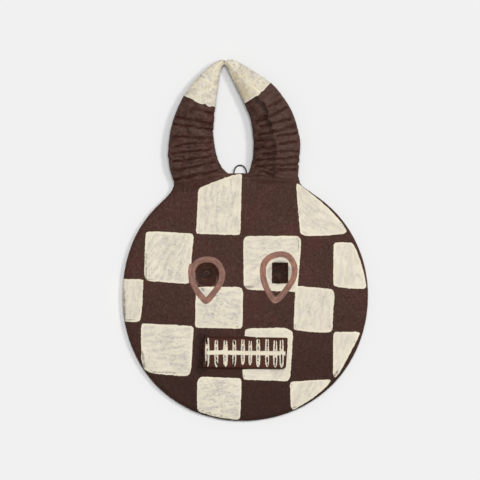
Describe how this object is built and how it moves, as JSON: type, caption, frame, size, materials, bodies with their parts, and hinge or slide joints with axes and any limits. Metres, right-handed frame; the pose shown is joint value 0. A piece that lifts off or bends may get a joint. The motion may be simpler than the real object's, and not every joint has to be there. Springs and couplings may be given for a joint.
{
  "type": "african mask",
  "caption": "Papier-mache disc mask with leaning ribbed horns, a cream and brown check, blind eye pits and a raised mouth block, hung by a wire loop.",
  "frame": {"origin": "on the table under the mask as it lies on its back, at the middle of its bounding box", "axes": "+X to the right of the face as seen from the front, +Y from the chin to the horns, +Z out of the face"},
  "size_m": [0.2951, 0.4336, 0.0288],
  "materials": {
    "papier_mache": "matte",
    "iron_wire": "satin"
  },
  "bodies": {
    "root": {"mask": "papier_mache", "hanging_wire": "iron_wire"}
  },
  "joints": []
}
